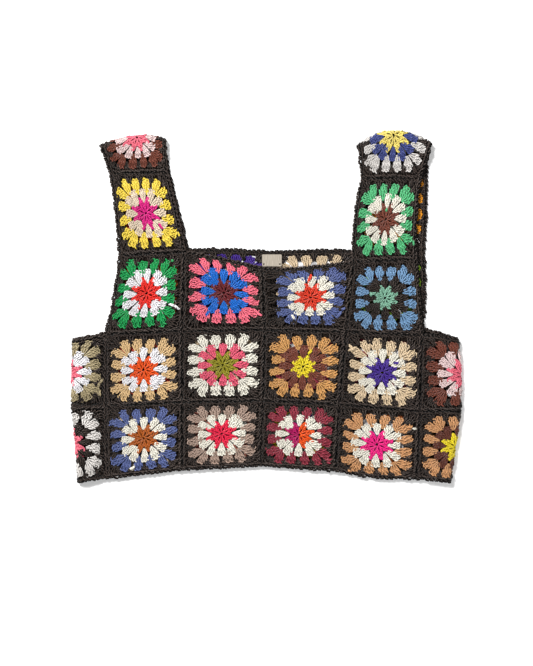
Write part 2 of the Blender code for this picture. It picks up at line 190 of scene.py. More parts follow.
# Rounds of each square from outside in, and the colour of its odd stitches and ends
SQUARE_COLOURS = {
    "front_1_left": ("yellow", "ecru", "magenta", "magenta"),
    "front_1_right": ("bright_green", "cream", "brown", "bright_green"),
    "front_2_1": ("green", "white", "scarlet", "white"),
    "front_2_2": ("pink", "royal_blue", "oxblood", "pink"),
    "front_2_3": ("periwinkle", "cream", "vermilion", "vermilion"),
    "front_2_4": ("sky_blue", "black", "sage", "sage"),
    "front_3_1": ("tan", "white", "orange", "orange"),
    "front_3_2": ("cream", "rose_pink", "olive", "cream"),
    "front_3_3": ("tan_gold", "brown", "lemon", "tan_gold"),
    "front_3_4": ("beige", "cream", "violet", "violet"),
    "front_4_1": ("denim", "cream", "rust", "cream"),
    "front_4_2": ("taupe", "cream", "crimson", "green"),
    "front_4_3": ("maroon", "cream", "deep_magenta", "orange"),
    "front_4_4": ("camel", "cream", "hot_pink", "hot_pink"),
    "side_left_3": ("khaki", "white", "pink", "khaki"),
    "side_left_4": ("pale_grey", "black", "pink", "pale_grey"),
    "side_right_3": ("brown", "pale_pink", "pink", "pale_pink"),
    "side_right_4": ("camel", "dark_brown", "lemon", "lemon"),
    "shoulder_left": ("brown", "pale_pink", "pink", "pale_pink"),
    "shoulder_right": ("pale_grey", "navy", "butter", "pale_grey"),
    "back_1_left": ("scarlet", "cream", "navy", "scarlet"),
    "back_1_right": ("golden_orange", "cream", "green", "golden_orange"),
    "back_2_1": ("rust", "cream", "sage", "rust"),
    "back_2_2": ("violet", "white", "orange", "violet"),
    "back_2_3": ("beige", "white", "brown", "beige"),
    "back_2_4": ("lime", "brown", "cream", "lime"),
    "back_3_1": ("coral", "white", "navy", "coral"),
    "back_3_2": ("beige", "brown", "yellow", "beige"),
    "back_3_3": ("rose_pink", "white", "olive", "white"),
    "back_3_4": ("maroon", "white", "lemon", "white"),
    "back_4_1": ("ecru", "denim", "vermilion", "ecru"),
    "back_4_2": ("salmon", "cream", "green", "salmon"),
    "back_4_3": ("lemon", "cream", "violet", "lemon"),
    "back_4_4": ("rust", "white", "sky_blue", "white"),
}
BLACK, OUTER, MIDDLE, CENTRE, ODD = range(5)
SLOTS = 5

# The rounds are drawn on a square of this half width, in its own units
HALF = 40.0
UNIT_MM = 1.1
ROLL = 0.5


def sizes():
    return bpy.context.scene.granny_sizes


def colours():
    return bpy.context.scene.granny_colours


# ---------------------------------------------------------------- surface of each square


def free_edges(row, column):
    """Edges of a chest or body square that no other square joins."""
    if row == 2:
        return ({1: "left", 4: "right"}.get(column, "top"),)
    return ("bottom",) if row == 4 else ()


def flat_square(name, corners, side, free):
    """A square lying on one layer. corners: bottom left, bottom right, top left, top right."""
    return {
        "name": name,
        "kind": "flat",
        "corners": np.array(corners),
        "height": FRONT_MIDDLE if side == "front" else BACK_MIDDLE,
        "dome": 1.0 if side == "front" else 0.0,
        "facing": 1.0 if side == "front" else -1.0,
        "free": free,
        "bow": BOWS.get(name, {}),
    }


def folded_square(name, front, fold, back, around, free):
    """A square folded from the front to the back. around is the way that goes round."""
    square = {
        "name": name,
        "kind": "folded",
        "front": np.array(front),
        "fold": np.array(fold),
        "back": np.array(back),
        "around": around,
        "facing": 1.0,
        "free": free,
    }
    if normals(square, np.array([-0.9]), np.array([-0.9]))[0, 2] < 0:
        square["facing"] = -1.0
    return square


def all_squares():
    """Every square by name, in the order that part and scene share."""
    squares = []
    rows = (("chest", "bust", 2), ("bust", "waist", 3), ("waist", "hem", 4))
    panels = (("front", FRONT_LINES, FRONT_STRAP_TOPS), ("back", BACK_LINES, BACK_STRAP_TOPS))
    for side, lines, strap_tops in panels:
        for upper, lower, row in rows:
            top, bottom = lines[upper], lines[lower]
            for column in range(1, 5):
                corners = (bottom[column - 1], bottom[column], top[column - 1], top[column])
                free = free_edges(row, column)
                squares.append(flat_square(f"{side}_{row}_{column}", corners, side, free))
        for strap, left, right in (("left", 0, 1), ("right", 3, 4)):
            corners = (lines["chest"][left], lines["chest"][right], *strap_tops[strap])
            free = ("left", "right")
            squares.append(flat_square(f"{side}_1_{strap}", corners, side, free))
    for side, column in (("left", 0), ("right", 4)):
        for upper, lower, row, free in (("bust", "waist", 3, "top"), ("waist", "hem", 4, "bottom")):
            front = (FRONT_LINES[lower][column], FRONT_LINES[upper][column])
            back = (BACK_LINES[lower][column], BACK_LINES[upper][column])
            fold = SIDE_FOLDS[side, row]
            squares.append(folded_square(f"side_{side}_{row}", front, fold, back, "u", (free,)))
        front, back = FRONT_STRAP_TOPS[side], BACK_STRAP_TOPS[side]
        fold, free = SHOULDER_FOLDS[side], ("left", "right")
        squares.append(folded_square(f"shoulder_{side}", front, fold, back, "v", free))
    return {square["name"]: square for square in squares}


def mix(first, second, share):
    return first + (second - first) * share[..., None]


def flat_surface(square, u, v):
    """Points of a flat square's middle surface, in millimetres."""
    bottom_left, bottom_right, top_left, top_right = square["corners"]
    across, up = (u + 1) / 2, (v + 1) / 2
    bottom = mix(bottom_left, bottom_right, across)
    place = mix(bottom, mix(top_left, top_right, across), up)
    bow = square["bow"]
    sag_x = bow.get("left", 0.0) * (1 - across) + bow.get("right", 0.0) * across
    sag_y = bow.get("bottom", 0.0) * (1 - up) + bow.get("top", 0.0) * up
    crown = DOME_HEIGHT * (1 - u * u) ** 2 * (1 - v * v) ** 2
    towards = {"left": (-u, v), "right": (u, v), "bottom": (-v, u), "top": (v, u)}
    for edge in square["free"]:
        out, along = towards[edge]
        out = np.maximum(out, 0.0)
        crown += EDGE_LIFT * LIFT_SCALE * (out * (1 - out * out)) ** 2 * (1 - along * along) ** 2
    x = place[..., 0] + sag_x * (1 - v * v)
    y = place[..., 1] + sag_y * (1 - u * u)
    return np.stack([x, y, square["height"] + square["dome"] * crown], -1)


def fold_sizes(square, along):
    """Front seam, start of the turn, back seam, direction of the fold and its radius."""
    share = (along + 1) / 2
    front = mix(square["front"][0], square["front"][1], share)
    back = mix(square["back"][0], square["back"][1], share)
    first, middle, last = square["fold"]
    weights = (along * (along - 1) / 2, 1 - along * along, along * (along + 1) / 2)
    fold = sum(w[..., None] * p for w, p in zip(weights, (first, middle, last)))
    outward = fold - (front + back) / 2
    outward /= np.linalg.norm(outward, axis=-1, keepdims=True)
    if square["around"] == "u":
        radius = np.full(along.shape, SIDE_FOLD_RADIUS)
    else:
        radius = SHOULDER_FOLD_RADIUS + (SHOULDER_END_RADIUS - SHOULDER_FOLD_RADIUS) * along**2
    return front, fold - outward * radius[..., None], back, outward, radius


def fold_shares(square):
    """Shares of the way round where the turn starts and ends, and the way's length."""
    front, turn, back, _, radius = fold_sizes(square, np.zeros(1))
    legs = np.linalg.norm(turn - front), math.pi * radius[0], np.linalg.norm(back - turn)
    return legs[0] / sum(legs), (legs[0] + legs[1]) / sum(legs), sum(legs)


def folded_surface(square, u, v):
    """Points of a folded square's middle surface: up the front, round, down the back."""
    around, along = (u, v) if square["around"] == "u" else (v, u)
    front, turn, back, outward, radius = fold_sizes(square, along)
    starts, ends, _ = fold_shares(square)
    walked = (around + 1) / 2
    rising = np.clip(walked / starts, 0.0, 1.0)
    angle = math.pi * np.clip((walked - starts) / (ends - starts), 0.0, 1.0)
    rise = rising * rising * (3 - 2 * rising)
    place = mix(front, turn, np.minimum(walked / starts, 1.0))
    place += outward * (radius * np.sin(angle))[..., None]
    place += (back - turn) * np.maximum((walked - ends) / (1 - ends), 0.0)[..., None]
    top = BACK_MIDDLE + 2 * radius
    height = np.where(
        walked < starts,
        FRONT_MIDDLE + (top - FRONT_MIDDLE) * rise,
        BACK_MIDDLE + radius * (1 + np.cos(angle)),
    )
    return np.concatenate([place, height[..., None]], -1)


def surface(square, u, v):
    if square["kind"] == "flat":
        return flat_surface(square, u, v)
    return folded_surface(square, u, v)


def normals(square, u, v, step=0.01):
    """Unit normals of the surface, out of the garment."""
    along_u = surface(square, u + step, v) - surface(square, u - step, v)
    along_v = surface(square, u, v + step) - surface(square, u, v - step)
    normal = np.cross(along_u, along_v)
    return square["facing"] * normal / np.linalg.norm(normal, axis=-1, keepdims=True)


def placed(square, points, height):
    """Points drawn in a square's own units, put on its surface at a height above it. Towards
    a free edge the outer round is drawn in, as crochet curls there."""
    ways = []
    for axis, (low, high) in enumerate((("left", "right"), ("bottom", "top"))):
        way = points[..., axis] / HALF
        out = np.abs(way)
        rolled = way + np.sign(way) * ROLL * out**2 * (1 - out)
        free = np.where(way < 0, low in square["free"], high in square["free"])
        ways.append(np.where(free, rolled, way))
    u, v = ways
    normal = normals(square, u, v)
    return surface(square, u, v) + normal * height[..., None], normal


def check_form(square):
    """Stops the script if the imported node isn't where this form is."""
    stations = np.linspace(-1, 1, FORM_STATIONS)
    u, v = np.meshgrid(stations, stations)
    points = surface(square, u, v).reshape(-1, 3)
    low, high = (np.array(corner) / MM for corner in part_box(square["name"]))
    miss = max(np.abs(points.min(0)[:2] - low[:2]).max(), np.abs(points.max(0)[:2] - high[:2]).max())
    if miss > WALL / 2 + FORM_TOLERANCE:
        raise RuntimeError(f"{square['name']} is {miss:.1f} mm off its packed solid")


# ---------------------------------------------------------------- meshes of yarn


LAYS = 4
PLY_TURNS = 3
END_THINNING = 0.7


class Yarn:
    """Collects strands of yarn as tubes, then makes one mesh of them."""

    def __init__(self):
        self.points, self.faces, self.maps, self.slots, self.count = [], [], [], [], 0

    def add(self, lines, ups, slots, radius, random):
        """Adds tubes along lines (strand, point, xyz), in millimetres."""
        sides = sizes().sides
        strands, stations, _ = lines.shape
        lines = lines.copy()
        lines[..., 2] = np.maximum(lines[..., 2], radius)
        steps = np.gradient(lines, axis=1)
        steps /= np.maximum(np.linalg.norm(steps, axis=-1, keepdims=True), 1e-9)
        across = np.cross(steps, ups)
        across /= np.maximum(np.linalg.norm(across, axis=-1, keepdims=True), 1e-9)
        over = np.cross(across, steps)
        angle = 2 * math.pi * (np.arange(sides) + 0.5) / sides
        reach = np.full(stations, radius)
        reach[[0, -1]] *= END_THINNING
        ring = across[:, :, None] * np.cos(angle)[:, None] + over[:, :, None] * np.sin(angle)[:, None]
        points = lines[:, :, None] + ring * reach[:, None, None]
        self.points.append(points.reshape(-1, 3))
        index = self.count + np.arange(strands * stations * sides).reshape(strands, stations, sides)
        after = np.roll(index, -1, axis=2)
        quads = np.stack([index[:, :-1], after[:, :-1], after[:, 1:], index[:, 1:]], -1)
        self.faces.append(quads.reshape(-1, 4))
        self.count += strands * stations * sides
        lengths = np.linalg.norm(np.diff(lines, axis=1), axis=-1)
        walked = np.concatenate([np.zeros((strands, 1)), np.cumsum(lengths, 1)], 1)
        walked = walked / (LAYS * sizes().lay_length / MM) + random.random((strands, 1))
        slots = np.broadcast_to(np.asarray(slots), (strands,))
        start = (slots[:, None, None] + np.arange(sides)[None, None] / sides) / SLOTS
        width = 1 / sides / SLOTS
        corners = []
        for side, station in ((0, 0), (1, 0), (1, 1), (0, 1)):
            rows = walked[:, station : stations - 1 + station]
            u = np.broadcast_to(start + side * width, (strands, stations - 1, sides))
            v = np.broadcast_to(rows[:, :, None], (strands, stations - 1, sides))
            corners.append(np.stack([u, v], -1))
        self.maps.append(np.stack(corners, -2).reshape(-1, 4, 2))
        self.slots.append(np.repeat(slots, (stations - 1) * sides))

    def build(self, name, materials):
        parts = (np.concatenate(part) for part in (self.points, self.faces, self.maps, self.slots))
        return build_piece(name, *parts, materials)


def build_piece(name, points, faces, maps, slots, materials):
    """A smooth piece of four-sided faces. points are in millimetres, maps are the places of
    each face's corners on the map, and slots are the faces' materials."""
    mesh = bpy.data.meshes.new(name)
    mesh.vertices.add(len(points))
    mesh.vertices.foreach_set("co", (points * MM).astype(np.float32).ravel())
    mesh.loops.add(faces.size)
    mesh.loops.foreach_set("vertex_index", faces.astype(np.int32).ravel())
    mesh.polygons.add(len(faces))
    mesh.polygons.foreach_set("loop_start", np.arange(0, faces.size, 4, dtype=np.int32))
    mesh.update(calc_edges=True)
    layer = mesh.uv_layers.new(name="OFBake")
    layer.uv.foreach_set("vector", maps.astype(np.float32).ravel())
    for material in materials:
        mesh.materials.append(material)
    mesh.polygons.foreach_set("material_index", slots.astype(np.int32))
    mesh.shade_smooth()
    return add_piece(name, mesh)


def add_piece(name, data):
    piece = bpy.data.objects.new(name, data)
    bpy.context.scene.collection.objects.link(piece)
    return piece


# ---------------------------------------------------------------- stitches

# A double crochet, from foot to head. Each row: share of the height, side, height above the
# cloth's middle, the last two in millimetres
LEFT_LEG = (
    (0.0, -0.5, 0.2), (0.16, 0.6, 0.5), (0.34, -0.8, -0.3),
    (0.52, -1.0, 0.3), (0.72, -1.5, 0.4), (0.9, -0.5, -0.4),
)
RIGHT_LEG = (
    (0.0, 0.5, 0.1), (0.16, -0.6, -0.1), (0.34, 0.9, 0.5),
    (0.52, 1.1, -0.1), (0.72, 1.3, 0.2), (0.9, 0.8, -0.4),
)
WRAP = ((0.46, -2.5, -0.2), (0.52, -1.0, 1.0), (0.64, 0.8, 1.1), (0.7, 2.4, -0.3))
HEAD = ((0.8, -2.7, 0.0), (0.94, -1.2, 0.8), (1.0, 1.1, 0.8), (0.9, 2.7, 0.0))
LEAST_SQUEEZE = 0.4
STITCH_WIDTH = 4.5
BULGE = 0.5
ROUND_TOP = 0.45
STITCH = (LEFT_LEG, RIGHT_LEG, WRAP, HEAD)
BLACK_STITCH = (RIGHT_LEG, WRAP, HEAD)

# The black round and the seams are worked looser: it takes this much more of the unevenness
BLACK_LOOSENESS = 4.0
BLACK_THICKENING = 1.3
STRAY = 0.07
# How far the feet and heads of clusters stray, in units, and widths and heights, in shares
FOOT_STRAY, HEAD_STRAY = 0.35, 0.6
WIDTH_STRAY, REACH_STRAY = 0.06, 0.02


def quarters(points):
    """The same points on all four sides of a square."""
    turned = []
    for c, s in ((1, 0), (0, 1), (-1, 0), (0, -1)):
        x, y = points[..., 0], points[..., 1]
        turned.append(np.stack([x * c - y * s, x * s + y * c], -1))
    return np.concatenate(turned)


def polar(radius, degrees):
    angle = math.radians(degrees)
    return radius * math.cos(angle), radius * math.sin(angle)


def fan(share):
    """Share of its head's width that a cluster has on the way up from its foot."""
    return 1 - (1 - share) ** 2


def late_fan(share):
    """The same for a cluster that opens late, above the heads that it is worked between."""
    return share**2


def spike(share):
    """The same for a cluster that closes to a point."""
    return np.sin(math.pi * np.clip(share, 0.0, 1.0) ** 0.8) ** 0.7


# One side's clusters in each round: foot, head, width at the foot and width that it opens to
ROUNDS = (
    {
        "slot": CENTRE,
        "stitches": 2,
        "shape": spike,
        "clusters": (
            (polar(1.6, 22.5), polar(17.0, 22.5), 1.0, 6.6),
            (polar(1.6, 67.5), polar(17.0, 67.5), 1.0, 6.6),
        ),
    },
    {
        "slot": MIDDLE,
        "stitches": 3,
        "shape": fan,
        "clusters": (
            (polar(10.4, 0), polar(24.2, 0), 2.0, 9.0),
            (polar(11.2, 38), polar(25.8, 30), 2.0, 9.0),
            (polar(11.2, 52), polar(25.8, 60), 2.0, 9.0),
        ),
    },
    {
        "slot": OUTER,
        "stitches": 3,
        "shape": fan,
        "clusters": (
            ((18.2, -6.0), (34.2, -7.3), 2.6, 11.6),
            ((18.2, 6.0), (34.2, 7.3), 2.6, 11.6),
            ((18.0, 16.2), (34.0, 21.8), 2.6, 11.6),
            ((16.2, 18.0), (21.8, 34.0), 2.6, 11.6),
        ),
    },
    {
        "slot": BLACK,
        "stitches": 3,
        "shape": late_fan,
        "clusters": (
            ((26.6, 0.0), (38.9, 0.0), 3.0, 14.4),
            ((26.6, -14.4), (38.9, -14.4), 3.0, 14.4),
            ((26.6, 14.4), (38.9, 14.4), 3.0, 14.4),
            ((27.6, 25.6), (38.9, 30.6), 3.6, 15.0),
            ((25.6, 27.6), (30.6, 38.9), 3.6, 15.0),
        ),
    },
)


# How far the coloured rounds sit off the middle of their square, in millimetres: across, up
RING_SHIFTS = {
    "front_2_1": (-3, 0),
    "front_2_2": (1, 3),
    "front_2_3": (4, 3),
    "front_2_4": (1, -1),
    "front_3_1": (0, -2),
    "front_3_2": (0, 1),
    "front_3_4": (1, -2),
    "front_4_4": (-1, -3),
}
# Squares drawn together across, and squares whose star is worked small
DRAWN_IN = {"front_2_3": 0.9}
SMALL_STARS = {"front_3_3": 0.72, "front_2_4": 0.82, "front_2_2": 0.85}
# Squares whose star is worked in two colours
TWO_TONE_CENTRES = ("front_4_3",)


def clusters_of(ring, random):
    """Feet, ways and widths of a round's clusters, a little uneven as by hand."""
    feet = quarters(np.array([c[0] for c in ring["clusters"]], float))
    heads = quarters(np.array([c[1] for c in ring["clusters"]], float))
    widths = np.tile(np.array([c[2:] for c in ring["clusters"]], float), (4, 1))
    uneven = sizes().unevenness
    feet += random.normal(0.0, FOOT_STRAY * uneven, feet.shape)
    heads += random.normal(0.0, HEAD_STRAY * uneven, heads.shape)
    widths *= random.normal(1.0, WIDTH_STRAY * uneven, widths.shape)
    return feet, heads - feet, widths


def settled(name, slot, feet, ways):
    """Feet and ways of a round's clusters where that square's rounds have settled."""
    heads = feet + ways
    star = SMALL_STARS.get(name, 1.0)
    if slot == CENTRE:
        heads = feet + ways * star
    elif slot == MIDDLE:
        feet = feet * star
    drawn_in = np.array([DRAWN_IN.get(name, 1.0), 1.0])
    shift = np.array(RING_SHIFTS.get(name, (0.0, 0.0))) / UNIT_MM
    feet = feet * drawn_in + shift
    if slot != BLACK:
        heads = heads * drawn_in + shift
    return feet, heads - feet


def sideways(way):
    """Unit directions to the left of each way."""
    return np.stack([-way[:, 1], way[:, 0]], -1) / np.linalg.norm(way, axis=1)[:, None]


def crochet_round(square, ring, yarn, cloth, random):
    """Adds a round's stitches to the yarn, and its ground to the cloth."""
    feet, ways, widths = clusters_of(ring, random)
    feet, ways = settled(square["name"], ring["slot"], feet, ways)
    add_ground(square, cloth, ring, feet, ways, widths)
    count = ring["stitches"]
    loose = BLACK_LOOSENESS if ring["slot"] == BLACK else 1.0
    radius = sizes().yarn_radius / MM * (BLACK_THICKENING if ring["slot"] == BLACK else 1.0)
    places = np.tile((np.arange(count) - (count - 1) / 2) / count, len(feet))
    feet, ways, widths = (np.repeat(part, count, axis=0) for part in (feet, ways, widths))
    sides = sideways(ways)
    stray = random.normal(0.0, REACH_STRAY * sizes().unevenness, len(places))
    reach = 1 - ROUND_TOP * places**2 + stray
    slots = np.full(len(feet), ring["slot"])
    if ring["slot"] == CENTRE and square["name"] in TWO_TONE_CENTRES:
        slots[feet[:, 0] > 0] = ODD
    for strand in BLACK_STITCH if ring["slot"] == BLACK else STITCH:
        share, across, height = np.array(strand).T
        opened = ring["shape"](share)[None]
        width = widths[:, :1] + (widths[:, 1:] - widths[:, :1]) * opened
        squeeze = np.maximum(width / widths[:, 1:], LEAST_SQUEEZE)
        squeeze = squeeze * widths[:, 1:] / count * UNIT_MM / STITCH_WIDTH
        stray = random.normal(0.0, STRAY * loose * sizes().unevenness, width.shape)
        offset = places[:, None] * width + (across[None] * squeeze + stray) / UNIT_MM
        points = feet[:, None] + ways[:, None] * (share[None] * reach[:, None])[..., None]
        points = points + sides[:, None] * offset[..., None]
        bulge = BULGE * (1 - (2 * places[:, None]) ** 2) * np.sin(math.pi * np.clip(share, 0, 1))[None]
        lines, ups = placed(square, points, height[None] + bulge + stray)
        yarn.add(lines, ups, slots, radius, random)


GROUND_SHARES = (0.0, 0.2, 0.45, 0.7, 0.92)
GROUND_ACROSS = (-0.45, 0.0, 0.45)
GROUND_HEIGHT = {"front": -0.5, "back": 0.2}
# Corners of a face of ground on its slot's part of the map
PATCH_MAP = np.array([[0.1, 0.0], [0.9, 0.0], [0.9, 1.0], [0.1, 1.0]])


def add_ground(square, cloth, ring, feet, ways, widths):
    """The close inside of each cluster, where its strands cross: a sheet beneath them that is coloured
    as painted shade.
    """
    share, across = np.meshgrid(GROUND_SHARES, GROUND_ACROSS, indexing="ij")
    first, last = widths[:, 0, None, None], widths[:, 1, None, None]
    width = first + (last - first) * ring["shape"](share)
    points = feet[:, None, None] + ways[:, None, None] * share[..., None]
    points = points + sideways(ways)[:, None, None] * (width * across)[..., None]
    cloth.add(square, points, ring["slot"])


class Cloth:
    """Collects patches of a square's ground, then makes one thin sheet of them."""

    def __init__(self):
        self.points, self.faces, self.slots, self.count = [], [], [], 0

    def add(self, square, points, slot):
        """Adds grids of points (patch, row, column, xy) drawn in the square's units."""
        patches, rows, columns, _ = points.shape
        lying = square["facing"] < 0 and square["kind"] == "flat"
        height = GROUND_HEIGHT["back" if lying else "front"]
        place, _ = placed(square, points, np.full(points.shape[:-1], height))
        self.points.append(place.reshape(-1, 3))
        index = self.count + np.arange(patches * rows * columns).reshape(patches, rows, columns)
        corners = (index[:, :-1, :-1], index[:, 1:, :-1], index[:, 1:, 1:], index[:, :-1, 1:])
        self.faces.append(np.stack(corners, -1).reshape(-1, 4))
        self.slots.append(np.full(patches * (rows - 1) * (columns - 1), slot))
        self.count += patches * rows * columns

    def build(self, name, materials):
        points, faces, slots = (np.concatenate(p) for p in (self.points, self.faces, self.slots))
        maps = np.repeat(PATCH_MAP[None], len(faces), axis=0)
        maps[..., 0] = (maps[..., 0] + slots[:, None]) / SLOTS
        return build_piece(name, points, faces, maps, slots, materials)


RIM_FROM, RIM_TO = 33.2, 39.9
RIM_STEPS = 13
BRAID_STITCHES = 16
# Strands of the braid along a rim: way along in stitches, reach in units, height in millimetres
BRAID = (
    ((-0.8, 36.9, -0.5), (-0.3, 37.6, 0.9), (0.35, 38.9, 1.1), (0.8, 39.8, 0.0)),
    ((-0.7, 39.9, 0.2), (-0.1, 39.3, 0.6), (0.4, 38.0, 0.4), (0.75, 36.8, -0.6)),
)


def add_rim(square, yarn, cloth, random):
    """The close rim of a square: its ground, and the braid that joins it to the next."""
    along = np.linspace(-1, 1, RIM_STEPS)
    rows = [np.stack([np.full(RIM_STEPS, reach), along * reach], -1) for reach in (RIM_FROM, RIM_TO)]
    cloth.add(square, quarters(np.array([rows])), BLACK)
    stitches = np.arange(BRAID_STITCHES) + 0.5
    uneven = BLACK_LOOSENESS * sizes().unevenness
    for strand in BRAID:
        way, reach, height = np.array(strand).T
        along = ((stitches[:, None] + way[None]) / BRAID_STITCHES * 2 - 1) * RIM_TO
        points = quarters(np.stack([np.broadcast_to(reach[None], along.shape), along], -1))
        points = points + random.normal(0.0, 2 * STRAY * uneven, points.shape)
        stray = random.normal(0.0, STRAY * uneven, points.shape[:2])
        lines, ups = placed(square, points, height[None] + stray)
        yarn.add(lines, ups, BLACK, sizes().yarn_radius / MM * BLACK_THICKENING, random)


# Ends and odd stitches that lie on a square: colour, and from where to where in its units
LOOSE_ENDS = {
    "front_1_left": (
        (OUTER, (35.0, -20.0), (39.0, -24.5)),
        (CENTRE, (12.6, -10.6), (17.6, -16.0)),
    ),
    "front_1_right": ((OUTER, (35.5, -21.0), (38.5, -27.0)), (ODD, (-1.0, 10.4), (0.6, 7.6))),
    "front_2_1": (
        (OUTER, (24.0, 30.6), (27.8, 33.4)),
        (ODD, (24.0, -12.6), (31.5, -13.4)),
        (ODD, (29.0, -13.6), (37.4, -17.6)),
        (CENTRE, (12.0, -4.4), (14.2, -9.0)),
    ),
    "front_2_2": (
        (OUTER, (29.0, -14.0), (35.0, -18.0)),
        (OUTER, (32.0, -18.6), (39.0, -21.4)),
        (MIDDLE, (-14.2, -17.6), (-16.4, -24.6)),
    ),
    "front_2_3": (
        (ODD, (1.2, 18.0), (2.8, 30.0)),
        (OUTER, (30.0, -25.0), (33.0, -15.0)),
        (OUTER, (32.6, -16.0), (36.4, -11.4)),
        (MIDDLE, (-14.6, -19.6), (-9.6, -25.4)),
    ),
    "front_2_4": ((CENTRE, (-17.2, 2.0), (-9.8, 5.2)), (CENTRE, (-17.0, 5.0), (-14.4, 0.8))),
    "front_3_2": ((ODD, (26.6, -14.6), (32.6, -17.4)), (ODD, (26.0, -21.0), (31.4, -21.8))),
    "front_3_3": (
        (CENTRE, (4.8, 13.6), (7.2, 19.2)),
        (OUTER, (27.4, -21.4), (30.6, -22.6)),
        (OUTER, (30.8, -24.0), (33.8, -26.2)),
    ),
    "front_3_4": (
        (OUTER, (-37.6, 25.6), (-30.0, 22.4)),
        (OUTER, (-36.0, 18.6), (-28.0, 23.6)),
        (CENTRE, (11.6, 8.0), (17.2, 10.2)),
    ),
    "side_left_3": (
        (OUTER, (-38.0, -9.0), (-33.0, -14.0)),
        (OUTER, (-34.6, -12.6), (-31.0, -18.6)),
        (OUTER, (-34.8, -22.0), (-32.8, -31.0)),
    ),
    "front_4_1": ((ODD, (-15.4, -33.0), (-10.2, -27.4)), (ODD, (-16.4, -30.2), (-11.0, -32.4))),
    "front_4_3": ((OUTER, (28.6, -27.4), (36.0, -24.8)), (OUTER, (30.0, -30.4), (35.4, -29.0))),
    "front_4_4": (
        (OUTER, (29.4, 18.6), (33.4, 22.0)),
        (MIDDLE, (33.8, 17.4), (37.6, 19.4)),
        (OUTER, (-29.4, -36.6), (-24.0, -37.8)),
        (CENTRE, (12.0, -0.6), (14.4, 2.0)),
    ),
}
END_HEIGHTS = (0.2, 1.5, 1.9, 1.6, 0.4)
END_SWAY = (0.0, 0.5, -0.1, -0.6, 0.0)
END_APART = 0.75
END_STRAY = 0.1


def add_loose_ends(square, yarn, random):
    """Yarn ends and odd stitches, each a pair of strands side by side."""
    share = np.linspace(0, 1, len(END_HEIGHTS))
    for slot, start, end in LOOSE_ENDS.get(square["name"], ()):
        way = np.array([end]) - np.array([start])
        side = sideways(way)
        for apart in (-END_APART, END_APART):
            offset = np.array(END_SWAY) + apart * np.sin(math.pi * share)
            points = np.array(start) + way * share[:, None] + side * offset[:, None]
            height = np.array(END_HEIGHTS) + random.normal(0.0, END_STRAY, len(share))
            lines, ups = placed(square, points[None], height[None])
            yarn.add(lines, ups, slot, sizes().yarn_radius / MM, random)


def flat_size(square):
    """Width and height of a square's flat cut, in metres."""
    line, middle = np.linspace(-1, 1, WALK_STATIONS), np.zeros(WALK_STATIONS)
    walks = (surface(square, line, middle), surface(square, middle, line))
    lengths = (np.linalg.norm(np.diff(walk, axis=0), axis=1).sum() for walk in walks)
    return tuple(round(length * MM, 4) for length in lengths)


def crochet_square(square, materials, seed):
    """Makes one square: its ground as a thin sheet, and its stitches on it."""
    check_form(square)
    random = np.random.default_rng(seed)
    yarn, cloth = Yarn(), Cloth()
    for ring in ROUNDS:
        crochet_round(square, ring, yarn, cloth, random)
    add_rim(square, yarn, cloth, random)
    add_loose_ends(square, yarn, random)
    name = square["name"]
    used = ("black", *SQUARE_COLOURS[name])
    # The ground takes the darkened copies of the cotton: painted shade beneath the strands.
    ground = cloth.build(f"{name}_cloth", [materials[f"{colour}_under"] for colour in used])
    stitches = yarn.build(f"{name}_stitches", [materials[colour] for colour in used])
    for piece in (ground, stitches):
        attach(piece, BODY)
    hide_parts(name)
    flat = flat_size(square)


# ---------------------------------------------------------------- edgings and label

LABEL_WIDTH, LABEL_HEIGHT, LABEL_THICKNESS = 21.6, 13.2, 0.9
LABEL_CORNER = 1.2
LABEL_SQUARE = "back_2_3"
LABEL_EDGE = 0.12
LABEL_SHARP_DEGREES = 40
LABEL_HOLE_DIAMETER = 1.7
LABEL_HOLE_INSET, LABEL_HOLE_RISE = 2.0, 2.6
LABEL_THREAD_RADIUS = 0.9
# Sewing yarn across each hole: way across it, and height over the middle of the plate
LABEL_THREAD = ((-0.7, -0.5), (-0.25, -0.3), (0.25, -0.3), (0.7, -0.5))
CORNER_STEPS = 6
HOLE_STEPS = 20

EDGING_GAP = 0.3
EDGE_STITCH = 5.0
EDGE_LEAN = 0.45
EDGE_STRAY = 0.3
# Share of the way to an edge at which the square is still inside it
JUST_INSIDE = 0.98
RAIL_STEPS = 25
# Strands of an edging stitch: way along, out from the edge and height, in millimetres
EDGE_STRANDS = (
    ((-2.5, -1.4, -0.2), (-1.3, -0.3, 1.0), (0.4, 1.0, 1.0), (1.6, 1.7, 0.0), (1.3, 1.2, -1.0)),
    ((-2.6, 0.4, 0.0), (-1.0, 1.8, 0.6), (1.0, 1.8, 0.5), (2.7, 0.3, -0.3)),
)


def edging_paths():
    """Edges that each edging runs along, in order, and whether it runs them backwards."""
    hem = [(f"front_4_{c}", "bottom", False) for c in range(1, 5)]
    hem += [("side_right_4", "bottom", False)]
    hem += [(f"back_4_{c}", "bottom", True) for c in range(4, 0, -1)]
    hem += [("side_left_4", "bottom", True)]
    paths = {"hem_edging": hem}
    for side, edge, column in (("left", "left", 1), ("right", "right", 4)):
        paths[f"armhole_edging_{side}"] = [
            (f"front_2_{column}", edge, False),
            (f"front_1_{side}", edge, False),
            (f"shoulder_{side}", edge, False),
            (f"back_1_{side}", edge, True),
            (f"back_2_{column}", edge, True),
            (f"side_{side}_3", "top", True),
        ]
    paths["neck_edging"] = [
        ("front_2_2", "top", False),
        ("front_2_3", "top", False),
        ("front_1_right", "left", False),
        ("shoulder_right", "left", False),
        ("back_1_right", "left", True),
        ("back_2_3", "top", True),
        ("back_2_2", "top", True),
        ("back_1_left", "right", False),
        ("shoulder_left", "right", True),
        ("front_1_left", "right", True),
    ]
    return paths


# The square that each edging is finished on
EDGING_STARTS = {
    "hem_edging": "front_4_1",
    "armhole_edging_left": "front_2_1",
    "armhole_edging_right": "front_2_4",
    "neck_edging": "front_2_2",
}


